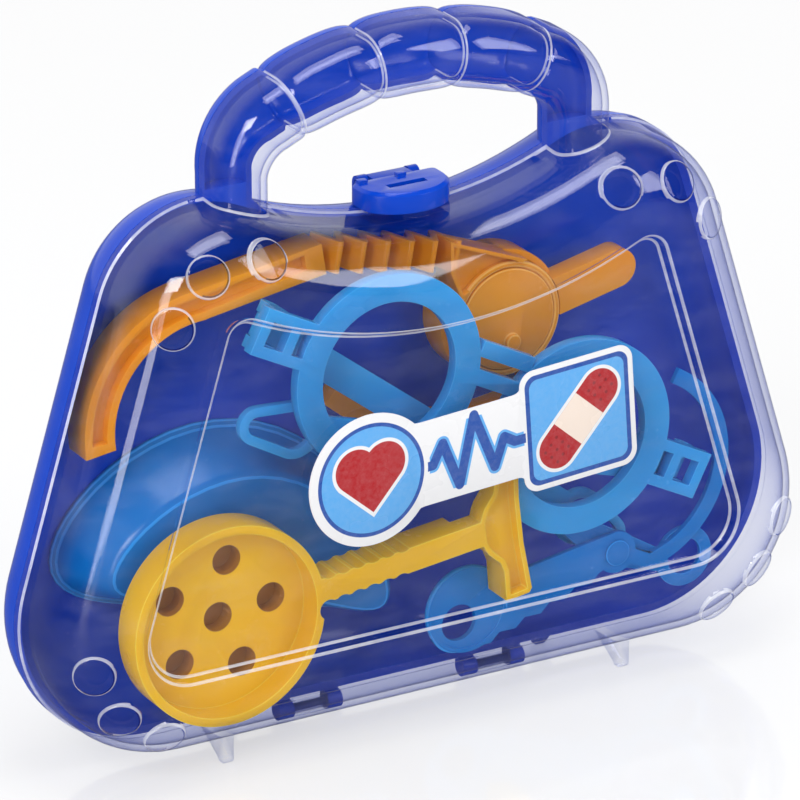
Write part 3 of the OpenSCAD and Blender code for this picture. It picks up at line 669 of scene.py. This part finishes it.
# Round pads on the rounding of the cover, in threes at each corner and shoulder
PAD_R, PAD_THICK, PAD_SINK, PAD_ROUND, PAD_TILT = 5.3, 2.2, 0.5, 0.8, radians(60)
PAD_PLACES = (
    ((SHOULDER_X, SHOULDER_Y), SHOULDER_R, (18, 62, 110)),
    ((CORNER_X, CORNER_R), CORNER_R, (-11, -43, -74)),
)
PAD_REACH, PAD_RIM = 7, (4.4, 5.35)
LIGHT_FROM = Vector((-0.75, 0.66, 0))


def make_pads():
    """Returns a drawing of the pads, and each pad's place and the way that it faces."""
    pads, axes = bmesh.new(), []
    level = DRAFT + COVER_EDGE * (1 - cos(PAD_TILT))
    out = COVER_D - COVER_EDGE * (1 - sin(PAD_TILT))
    lean = Matrix.Rotation(pi / 2 - PAD_TILT, 4, "Y")
    for centre, r, angles in PAD_PLACES:
        for a in map(radians, angles):
            for flip in (-1, 1):
                turn = Matrix.Rotation(a if flip > 0 else pi - a, 4, "Z") @ lean
                x = flip * (centre[0] + (r - level) * cos(a))
                at = Vector((x, centre[1] + (r - level) * sin(a), out))
                pad = rod(PAD_R, PAD_THICK, (0, 0, -PAD_SINK))
                top = [e for e in pad.edges if min(v.co.z for v in e.verts) > 0]
                bevelled(pad, top, PAD_ROUND, 3)
                to_place = Matrix.Translation(at) @ turn
                bmesh.ops.transform(pad, verts=pad.verts, matrix=to_place)
                add_to(pads, pad)
                axes.append((at, turn.to_3x3() @ Vector((0, 0, 1))))
    return pads, axes


def pad_under(at, axes):
    """The way out to a place on a pad's rim from its axis, and the way that the pad faces."""
    for centre, way in axes:
        off = at - centre
        out = off - way * off.dot(way)
        if off.length < PAD_REACH and PAD_RIM[0] < out.length < PAD_RIM[1]:
            return out, way
    return None


def hinge(centres, r, length):
    """Rods along the hinge's axis."""
    bm = bmesh.new()
    for x in centres:
        rod(r, length, (x, HINGE_Y, 0), ACROSS, bm=bm)
    return bm


def hinge_webs(centres, width, side):
    """Webs that join the hinge's rods to a half."""
    bm = bmesh.new()
    for x in centres:
        block((width, WEB_H, WEB_D), (x, WEB_Y, WEB_OUT * side), bm)
    return bm


CATCH_SIZE, CATCH_PLACE = (7.5, 2.6 + WALL, 2.2), (0, BODY_H - DIP + 0.5, 7.5)
COVER_FEET, COVER_FOOT_D = (-56, 56), 15
PANEL_FOOT, PANEL_MIDDLE, SMALL_FACE = 14, 62, 0.6
COLLAR_ROUND = 0.5


def make_cover():
    """The clear half: shell with a sunken panel, bar of the handle, pads, feet, catch, knuckles."""
    wall_run = COVER_D - COVER_EDGE
    flat = PANEL_INSET - DRAFT - COVER_EDGE
    outer = [(0.0, BEAD_W - SEAM), (BEAD_H, BEAD_H)]
    outer += [(DRAFT, wall_run - BEAD_W - BEAD_H)] + quarter_round(COVER_EDGE, 16)
    outer += [(flat - 0.5, 0.0), (0.35, -0.12), (0.3, -0.4)]
    outer += [(0.75, -PANEL_D + 0.92), (0.3, -0.32), (0.35, -0.08)]
    inner = [(DRAFT, wall_run + 1.0)] + quarter_round(COVER_EDGE - WALL, 12)
    inner += [(flat - 0.4, 0.0), (0.4, -0.2), (1.0, -PANEL_D + 0.4), (0.4, -0.2)]
    pads, axes = make_pads()
    made = combine(
        bag_solid(-BEAD_H, SEAM, outer),
        [
            ("UNION", handle_solid(BAR_FOOT, 0, SEAM, HANDLE_FRONT, 1)),
            ("UNION", pads),
            ("UNION", feet(COVER_FEET, COVER_FOOT_D, 1)),
            ("UNION", block(CATCH_SIZE, CATCH_PLACE)),
            ("DIFFERENCE", bag_solid(WALL, -1.0, inner)),
            ("DIFFERENCE", handle_solid(COVER_HOLLOW_FOOT, WALL, -1, HANDLE_FRONT - WALL, 1)),
            ("UNION", hinge_webs(HINGE_XS, KNUCKLE_W, 1)),
            ("UNION", hinge(HINGE_XS, KNUCKLE_R, KNUCKLE_W)),
            ("DIFFERENCE", hinge(HINGE_XS, BORE_R, KNUCKLE_W + 3)),
        ],
    )

    def rim(at, normal, area):
        """Pad rims, the two edges of the panel, the bead and the creases of the handle, which take
        the whiter clear finish as painted highlight.
        """
        pad = pad_under(at, axes)
        if pad:
            return normal.dot(pad[1]) < 0.9 and area < SMALL_FACE
        below_front = COVER_D - at.z
        panel_edge = 0.04 < below_front < 0.62 or 0.02 < PANEL_D - below_front < 0.4
        if PANEL_FOOT < at.y < BODY_H - DIP and panel_edge:
            middle = Vector((0, PANEL_MIDDLE, at.z))
            return 0.2 < normal.z < 0.985 and normal.dot(middle - at) > 0
        if BEAD_W - 0.2 < at.z < BEAD_W + BEAD_H and at.y < BODY_H:
            return 0.4 < normal.z < 0.95
        if at.y > BODY_H + 8 and at.z > 1:
            turn = abs(atan2(at.x, at.y - BOW_Y))
            return any(abs(turn - groove) < CREASE_A for groove in GROOVE_TURNS)
        return False

    def shade(at, normal, area):
        """The inner side of a pad's rim, where it faces away from the light."""
        pad = pad_under(at, axes)
        if not pad or area >= SMALL_FACE:
            return False
        out, way = pad
        return 0.9 < normal.dot(way) < 0.985 and out.dot(LIGHT_FROM) < -0.1 * out.length

    def at_leg(v):
        """Whether a point is where a leg of the handle meets the body."""
        return BODY_H - 12 < v.co.y < BODY_H + 4 and 36 < abs(v.co.x) < 58 and v.co.z > 1

    mark(made, rim)
    # The side of each pad's rim away from the light gets the dark tint: painted shade
    mark(made, shade, 2)
    collar = [
        e
        for e in made.edges
        if is_sharp(e, 25) and not e.is_convex and all(at_leg(v) for v in e.verts)
    ]
    # The collars where the handle's legs meet the body are rounded and take the whiter clear finish
    # as painted highlight
    for f in bevelled(made, collar, COLLAR_ROUND):
        f.material_index = 1
    return made


finished("clear_front_cover", make_cover(), CLEAR, "cover", "clear_cover", "clear")


# ---------- back shell ----------

LUG_XS = [x + side * (KNUCKLE_W / 2 + LUG_GAP + LUG_W / 2) for x in HINGE_XS for side in (-1, 1)]
BACK_FEET, BACK_FOOT_D = (-45, 45), 10
EAR_X, EAR_Y, EAR_Z, EAR_R, EAR_W, EAR_BORE_R = 7, 127.6, -6, 2.1, 2.6, 1.15
POST_H, POST_D, POST_Y = 5.4, 4.2, 124.9


def latch_ears():
    """The two ears that hold the latch: (operation, drawing) pairs of posts, ears and bores."""
    posts, ears, bores = bmesh.new(), bmesh.new(), bmesh.new()
    for x in (-EAR_X, EAR_X):
        block((EAR_W, POST_H, POST_D), (x, POST_Y, EAR_Z), posts)
        rod(EAR_R, EAR_W, (x, EAR_Y, EAR_Z), ACROSS, bm=ears)
        rod(EAR_BORE_R, 4, (x, EAR_Y, EAR_Z), ACROSS, bm=bores)
    return [("UNION", posts), ("UNION", ears), ("DIFFERENCE", bores)]


def make_back():
    """The blue half: its shell is drawn looking forwards and mirrored to look backwards."""
    run = BACK_D - BACK_EDGE
    outer = [(0.0, BEAD_W - SEAM), (BEAD_H, BEAD_H)]
    outer += [(0.0, run - BEAD_W - BEAD_H)] + quarter_round(BACK_EDGE, 14)
    outer += [(6.0, 0.0), (0.4, -0.15), (0.5, -0.35), (0.4, -0.1)]
    inner = [(0.0, run + 1.0)] + quarter_round(BACK_EDGE - WALL, 12)
    shell, inside = bag_solid(-BEAD_H, SEAM, outer), bag_solid(WALL, -1.0, inner)
    for bm in (shell, inside):
        bmesh.ops.transform(bm, verts=bm.verts, matrix=Matrix.Scale(-1, 4, (0, 0, 1)))
        bmesh.ops.reverse_faces(bm, faces=bm.faces)
    return combine(
        shell,
        [
            ("UNION", handle_solid(BAR_FOOT, 0, SEAM, HANDLE_BACK, -1)),
            ("UNION", feet(BACK_FEET, BACK_FOOT_D, -1)),
            ("DIFFERENCE", inside),
            ("DIFFERENCE", handle_solid(BACK_HOLLOW_FOOT, WALL, -1, HANDLE_BACK - WALL, -1)),
            ("UNION", hinge_webs(LUG_XS, LUG_W, -1)),
            ("UNION", hinge(LUG_XS, KNUCKLE_R, LUG_W)),
            ("UNION", hinge(HINGE_XS, PIN_R, PIN_W)),
        ]
        + latch_ears(),
    )


finished("royal_blue_back", make_back(), ROYAL_BLUE, "case_back", "back_shell", "royal_blue")


# ---------- pieces drawn from the frame with softened edges ----------

ROUNDED_NODES = (
    ("latch", 0.35, ROYAL_BLUE, "latch", "royal_blue"),
    ("stethoscope_headset", 0.35, ORANGE, "case_back", "orange"),
    ("chest_piece", 0.5, ORANGE, "case_back", "orange"),
    ("diaphragm", 0.3, ORANGE, "case_back", "orange"),
    ("glasses_frame", 0.5, SKY_BLUE, "case_back", "sky_blue"),
    ("glasses_temple_left", 0.35, SKY_BLUE, "temple_left", "sky_blue"),
    ("glasses_temple_right", 0.35, SKY_BLUE, "temple_right", "sky_blue"),
    ("kidney_dish", 0.4, DISH_BLUE, "case_back", "mid_blue"),
    ("scissors_half_b", 0.25, DISH_BLUE, "scissors_half", "mid_blue"),
    ("scissors_rivet", 0.25, DISH_BLUE, "case_back", "mid_blue"),
)
for node, width, finishes, body, slot in ROUNDED_NODES:
    bm = softened(node, width, painted_highlight_rims=len(finishes) > 1)
    finished("toy_" + node, bm, finishes, body, node, slot, on_board=False)


# ---------- scissors half with the large finger grip ----------

GRIP_C, GRIP_R, GRIP_RIM = (15.0, 16.0), 11.5, 1.0
GRIP_HOLE_C, GRIP_HOLE_R = (12.5, 13.0), 4.8
HALF_FRONT, HALF_BACK = 7.6, 6.2
RIM_SET, RIM_H = 0.2, 0.6
FINE_ROUND = 0.25


def make_scissors_grip():
    """The frame's scissors half with a wide grip round its finger hole and a raised rim."""
    middle = (HALF_FRONT + HALF_BACK) / 2
    rim_r = GRIP_R - RIM_SET
    plate = rod(GRIP_R, HALF_FRONT - HALF_BACK, (*GRIP_C, middle), segments=64)
    bevelled(plate, [e for e in plate.edges if e.calc_face_angle() > 1], FINE_ROUND)
    rim = rod(rim_r, RIM_H, (*GRIP_C, HALF_FRONT), segments=64)
    inside = rod(rim_r - GRIP_RIM, 2, (*GRIP_C, HALF_FRONT + 1), segments=64)
    hole = rod(GRIP_HOLE_R, 6, (*GRIP_HOLE_C, middle), segments=64)
    made = combine(
        to_board(softened("scissors_half_a", FINE_ROUND)),
        [("UNION", plate), ("UNION", rim), ("DIFFERENCE", inside), ("DIFFERENCE", hole)],
    )

    def edge(at, normal, area):
        """The grip's rim and every rounded edge, which take the lighter finish as painted
        highlight.
        """
        away = (at.xy - Vector(GRIP_C)).length
        return GRIP_R - 0.3 - GRIP_RIM < away < GRIP_R + 0.1 or area < 0.4

    return mark(made, edge)


finished(
    "toy_scissors_half_a",
    make_scissors_grip(),
    DISH_BLUE,
    "case_back",
    "scissors_half_a",
    "mid_blue",
)


# ---------- toy hammer ----------

CUP_C, HOLE_R, HOLE_RING_R, HOLE_TURN = (-56, 30.9), 3.7, 14.6, 8
HOLE_FRONT, HOLE_FLOOR, HOLE_CUT = 10.2, 5.6, 6.6
BOSS_WALL, BOSS_H, BOSS_MIDDLE = 0.9, 3.6, 6.6
HAMMER_ROUND = 0.35


def make_hammer():
    """The frame's hammer with deep blind holes in its cup, each with a boss behind it; the holes'
    insides get a darker finish as painted shade, and its rims a lighter one as painted highlight.
    """
    turns = [radians(HOLE_TURN + 72 * i) for i in range(5)]
    centres = [CUP_C] + [on_arc(CUP_C, HOLE_RING_R, turn, 0)[:2] for turn in turns]
    bosses, holes = bmesh.new(), bmesh.new()
    for at in centres:
        rod(HOLE_R + BOSS_WALL, BOSS_H, (*at, BOSS_MIDDLE), segments=40, bm=bosses)
        rod(HOLE_R, HOLE_CUT, (*at, HOLE_FLOOR + HOLE_CUT / 2), segments=40, bm=holes)

    def place(f):
        """A face's middle, to a tenth of a millimetre."""
        return tuple(round(c, 1) for c in f.calc_center_median())

    base = to_board(softened("reflex_hammer", HAMMER_ROUND, painted_highlight_rims=True))
    painted_highlight_rims = {place(f) for f in base.faces if f.material_index == 1}
    made = combine(base, [("UNION", bosses), ("DIFFERENCE", holes)])
    # The Booleans forget the finishes, so the rims with painted highlight are found again by their
    # places, and the holes' insides get painted shade
    for f in made.faces:
        at = f.calc_center_median()
        away = min((at.xy - Vector(centre)).length for centre in centres)
        gets_painted_shade = away < HOLE_R + 0.1 and HOLE_FLOOR - 0.1 < at.z < HOLE_FRONT
        f.material_index = 2 if gets_painted_shade else int(place(f) in painted_highlight_rims)
    return made


finished("toy_reflex_hammer", make_hammer(), YELLOW, "case_back", "reflex_hammer", "yellow")


# ---------- sticker ----------

STICKER_C, STICKER_TILT = (8.0, 66.0), radians(4)
STRIP_W, STRIP_H, PAPER_THICK = 58, 22, 0.25
DISC_X, DISC_R = -29.0, 17
BADGE_X, BADGE_W, BADGE_ROUND = 29.0, 32, 4
JOIN_ROUND, FILM_ROUND = 2.0, 0.08

PRINT_BLUE, PRINT_RED = (0.012, 0.075, 0.36), (0.42, 0.008, 0.012)
PRINT_SKY, PAPER = (0.10, 0.38, 0.78), (0.80, 0.80, 0.81)
PRINT_PAD, PRINT_DOT = (0.85, 0.72, 0.62), (0.25, 0.004, 0.008)
SOFT, DIAGONAL = 0.07, 0.70711
HEART_Z, HEART_R, LOBE = -0.6, 5.6, 3.96
PULSE = (
    (-24, -1), (-12, -1), (-9, 4), (-5, -8), (0, 9), (5, -6), (8, 1), (11, -1), (26, -1),
)


def sticker_finish():
    """Printed paper under a gloss film: a heart badge, a pulse line and a plaster."""
    f = Finish("printed_sticker")
    centre = (STICKER_C[0] / 1000, SEAM_Y / 1000, (STICKER_C[1] + FOOT_H) / 1000)
    local = f.add("ShaderNodeVectorMath", {"operation": "SUBTRACT"}, {0: f.place(), 1: centre})
    turned = f.add(
        "ShaderNodeMapping",
        {"vector_type": "POINT"},
        {
            "Vector": local,
            "Rotation": Matrix.Rotation(STICKER_TILT, 3, "Y").to_euler(),
            "Scale": (1000, 1000, 1000),
        },
    )
    x = f.add("ShaderNodeSeparateXYZ", inputs={"Vector": turned})
    z = Socket(f, x.link.node.outputs["Z"])

    def length(across, up):
        return (across * across + up * up).root()

    def box(across, up, half_w, half_h, round_r):
        """How far a place is outside a rounded box."""
        dx = (abs(across) - (half_w - round_r)).most(0.0)
        dz = (abs(up) - (half_h - round_r)).most(0.0)
        return length(dx, dz) - round_r

    def badge(half, round_r):
        """How far a place is outside a square on the square badge."""
        return box(x - BADGE_X, z, half, half, round_r)

    def stroke(a, b):
        """How far a place is from a straight stroke."""
        run_x, run_z = b[0] - a[0], b[1] - a[1]
        along = ((x - a[0]) * run_x + (z - a[1]) * run_z) / (run_x**2 + run_z**2)
        along = along.most(0.0).least(1.0)
        return length(x - a[0] - along * run_x, z - a[1] - along * run_z)

    def inside(distance, edge=0.0):
        return distance.below(edge, SOFT)

    disc = length(x - DISC_X, z)
    # Heart: a square on its corner with a disc on each upper side
    across, up = abs(x - DISC_X), z - HEART_Z
    u, v = (across + up) * DIAGONAL, (up - across) * DIAGONAL
    heart = (abs(u).most(abs(v)) - HEART_R).least(length(across - LOBE, up - LOBE) - HEART_R)
    # Plaster: a strip with a pad and rows of dots, on the diagonal of its badge
    px, pz = (x - BADGE_X + z) * DIAGONAL, (z - (x - BADGE_X)) * DIAGONAL
    strip, pad = box(px, pz, 14.0, 5.2, 5.0), box(px, pz, 4.6, 5.2, 0.2)
    dots = length(px.folded(1.15), pz.folded(1.15))
    pulse = stroke(*PULSE[:2])
    for a, b in zip(PULSE[1:], PULSE[2:]):
        pulse = pulse.least(stroke(a, b))
    on_strip = inside(box(x, z, 45, 8.6, 2))

    def between_badges(disc_r, half):
        return (1 - inside(disc, disc_r)) * (1 - inside(badge(half, 3)))

    ink = PAPER
    for share, colour in (
        (inside(disc, 14.6), PRINT_BLUE),
        (inside(disc, 13.6), PRINT_SKY),
        (inside(heart, 0.9), PAPER),
        (inside(heart), PRINT_RED),
        (on_strip * between_badges(16.2, 15.5) * inside(pulse, 1.9), PRINT_SKY),
        (inside(pulse, 1.25) * between_badges(15.6, 15.0), PRINT_BLUE),
        (inside(badge(14.6, 3)), PRINT_BLUE),
        (inside(badge(13.4, 2.4)), PRINT_SKY),
        (inside(strip, 0.9), PAPER),
        (inside(strip), PRINT_RED),
        (inside(pad) * inside(strip), PRINT_PAD),
        (dots.below(0.42, 0.1) * (1 - inside(pad, 0.4)) * inside(strip, -1.1), PRINT_DOT),
    ):
        ink = f.mix(share, ink, colour)
    fibre = f.noise(900, 3, 0.6)
    film = f.noise(70, 3, 0.5)
    return f.show(
        f.shader(
            Base_Color=f.mix(fibre.ranged(0.3, 0.7, 0.0, 0.06), ink, (0.75, 0.75, 0.78)),
            Roughness=film.ranged(0.3, 0.7, 0.22, 0.34),
            Coat_Weight=0.3,
            Coat_Roughness=0.08,
            Normal=f.bump(film, 0.05, 0.0003),
        )
    )


def make_sticker():
    """Die-cut outline: a long strip with a round badge and a rounded square badge."""
    middle = PAPER_THICK / 2

    def upright(edge):
        low, high = sorted(v.co.z for v in edge.verts)
        return high - low > middle

    strip = block((STRIP_W, STRIP_H, PAPER_THICK), (0, 0, middle))
    disc = rod(DISC_R, PAPER_THICK, (DISC_X, 0, middle), segments=96)
    badge = block((BADGE_W, BADGE_W, PAPER_THICK), (BADGE_X, 0, middle))
    bevelled(badge, [e for e in badge.edges if upright(e)], BADGE_ROUND, 8)
    bm = combine(strip, [("UNION", disc), ("UNION", badge)])
    bmesh.ops.dissolve_limit(bm, angle_limit=radians(0.5), verts=bm.verts, edges=bm.edges)
    joins = [
        e for e in bm.edges if upright(e) and abs(abs(e.verts[0].co.y) - STRIP_H / 2) < 0.2
    ]
    bevelled(bm, joins, JOIN_ROUND, 5)
    top = [e for e in bm.edges if is_sharp(e, 60) and min(v.co.z for v in e.verts) > middle]
    bevelled(bm, top, FILM_ROUND)
    turn = Matrix.Rotation(STICKER_TILT, 3, "Z")
    bmesh.ops.rotate(bm, verts=bm.verts, cent=(0, 0, 0), matrix=turn)
    bmesh.ops.translate(bm, verts=bm.verts, vec=(*STICKER_C, COVER_D - PANEL_D))
    return bm


finished("sticker", make_sticker(), (sticker_finish(),), "cover", "label", "sticker")


# ---------- camera, floor and lights ----------

AZIMUTH, ELEVATION, ROLL = radians(-29.7), radians(22.0), radians(-0.1)
TARGET, DISTANCE = Vector((0, 0.005015, 0.08475)), 1.566
LENS, SENSOR_W = 290.5, 36.0
SHIFT_X, SHIFT_Y = 1.1 / 800, -25.3 / 800
LAMPS_AT = Vector((0, 0, 0.08))


def aim(obj, place, way, roll=0.0):
    """Puts a camera or lamp at a place, looking along a way."""
    obj.location = place
    obj.rotation_mode = "QUATERNION"
    turn = Matrix.Rotation(roll, 3, "Z").to_quaternion()
    obj.rotation_quaternion = way.to_track_quat("-Z", "Y") @ turn


outwards = Vector(
    (sin(AZIMUTH) * cos(ELEVATION), -cos(AZIMUTH) * cos(ELEVATION), sin(ELEVATION))
)
camera_data = bpy.data.cameras.new("camera")
camera_data.lens, camera_data.sensor_width = LENS, SENSOR_W
camera_data.shift_x, camera_data.shift_y = SHIFT_X, SHIFT_Y
camera_data.clip_end = 50
camera = in_scene("camera", camera_data)
aim(camera, TARGET + outwards * DISTANCE, -outwards, ROLL)
bpy.context.scene.camera = camera


def floor_finish():
    """Pale paint that is half see-through.

    The white room behind it and an open cover below it show through it, the lamps light
    that cover through it, and shiny pieces mirror it dimly.
    """
    f = Finish("pale_floor")
    paint = f.shader(Base_Color=(0.82, 0.82, 0.83), Roughness=0.05, IOR=1.9)
    dim_paint = f.shader(Base_Color=(0.18, 0.18, 0.2), Roughness=0.5)
    open_air = f.add("ShaderNodeBsdfTransparent", inputs={"Color": (1, 1, 1)})
    seen = f.blend((f.ray("Camera") * 0.55).most(f.ray("Shadow")), paint, open_air)
    return f.show(f.blend(f.ray("Glossy"), seen, dim_paint))


floor_bm = bmesh.new()
bmesh.ops.create_grid(floor_bm, x_segments=1, y_segments=1, size=6)
floor_mesh = bpy.data.meshes.new("floor")
floor_bm.to_mesh(floor_mesh)
floor_mesh.materials.append(floor_finish())
in_scene("floor", floor_mesh)

for name, place, size, power in (
    ("window_left", (-1.1, -0.9, 1.2), (0.6, 0.45), 8.2),
    ("window_tall", (-1.05, -0.7, 0.4), (0.3, 0.8), 3),
    ("window_right", (1.1, -1.3, 0.9), (0.6, 0.9), 6.8),
    ("overhead", (0.05, -0.2, 1.6), (1.0, 0.5), 7.5),
):
    lamp_data = bpy.data.lights.new(name, "AREA")
    lamp_data.shape, lamp_data.energy = "RECTANGLE", power
    lamp_data.size, lamp_data.size_y = size
    aim(in_scene(name, lamp_data), place, LAMPS_AT - Vector(place))

# The room lights the object softly; what it mirrors is dark in front and white behind
bpy.context.scene.world = bpy.data.worlds.new("room")
room = Finish("room", bpy.context.scene.world, "ShaderNodeOutputWorld")
way = room.add("ShaderNodeTexCoord", output="Generated")
backwards = room.add("ShaderNodeSeparateXYZ", inputs={"Vector": way}, output="Y")
mirrored = backwards.ranged(0.1, 0.9, 0.05, 1.0, "SMOOTHSTEP")
lit = room.add("ShaderNodeMix", inputs={0: room.ray("Glossy"), 2: 0.78, 3: mirrored})
backdrop = room.ray("Camera").most(room.ray("Transmission"))
level = room.add("ShaderNodeMix", inputs={0: backdrop, 2: lit, 3: 1.0})
room.show(room.add("ShaderNodeBackground", inputs={"Color": (1, 1, 1), "Strength": level}))

bpy.context.scene.view_settings.view_transform = "Standard"
